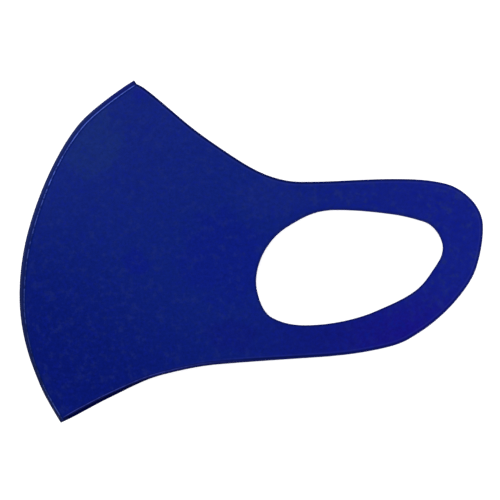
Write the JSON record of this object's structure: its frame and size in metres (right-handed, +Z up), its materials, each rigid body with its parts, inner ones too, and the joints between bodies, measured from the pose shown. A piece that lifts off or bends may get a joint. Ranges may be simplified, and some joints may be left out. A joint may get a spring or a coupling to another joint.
{
  "type": "folding foam face mask with ear loops, folded flat",
  "caption": "Reusable foam face mask folded in half: mirrored cheek panels with ear loops cut in one piece, joined by a curved pressed front seam.",
  "frame": {"origin": "centre of the outline's box, on the surface that the folded mask lies on", "axes": "+X from the front seam to the ear loops, +Y from the chin to the nose, +Z up from the surface"},
  "size_m": [0.1907, 0.141, 0.0104],
  "materials": {
    "foam": "matte royal-blue stretch foam",
    "pressed_seam": "heat-pressed foam, darker and a little smoother"
  },
  "bodies": {
    "root": {"panel_upper": "foam", "panel_lower": "foam", "front_seam": "pressed_seam"}
  },
  "joints": []
}
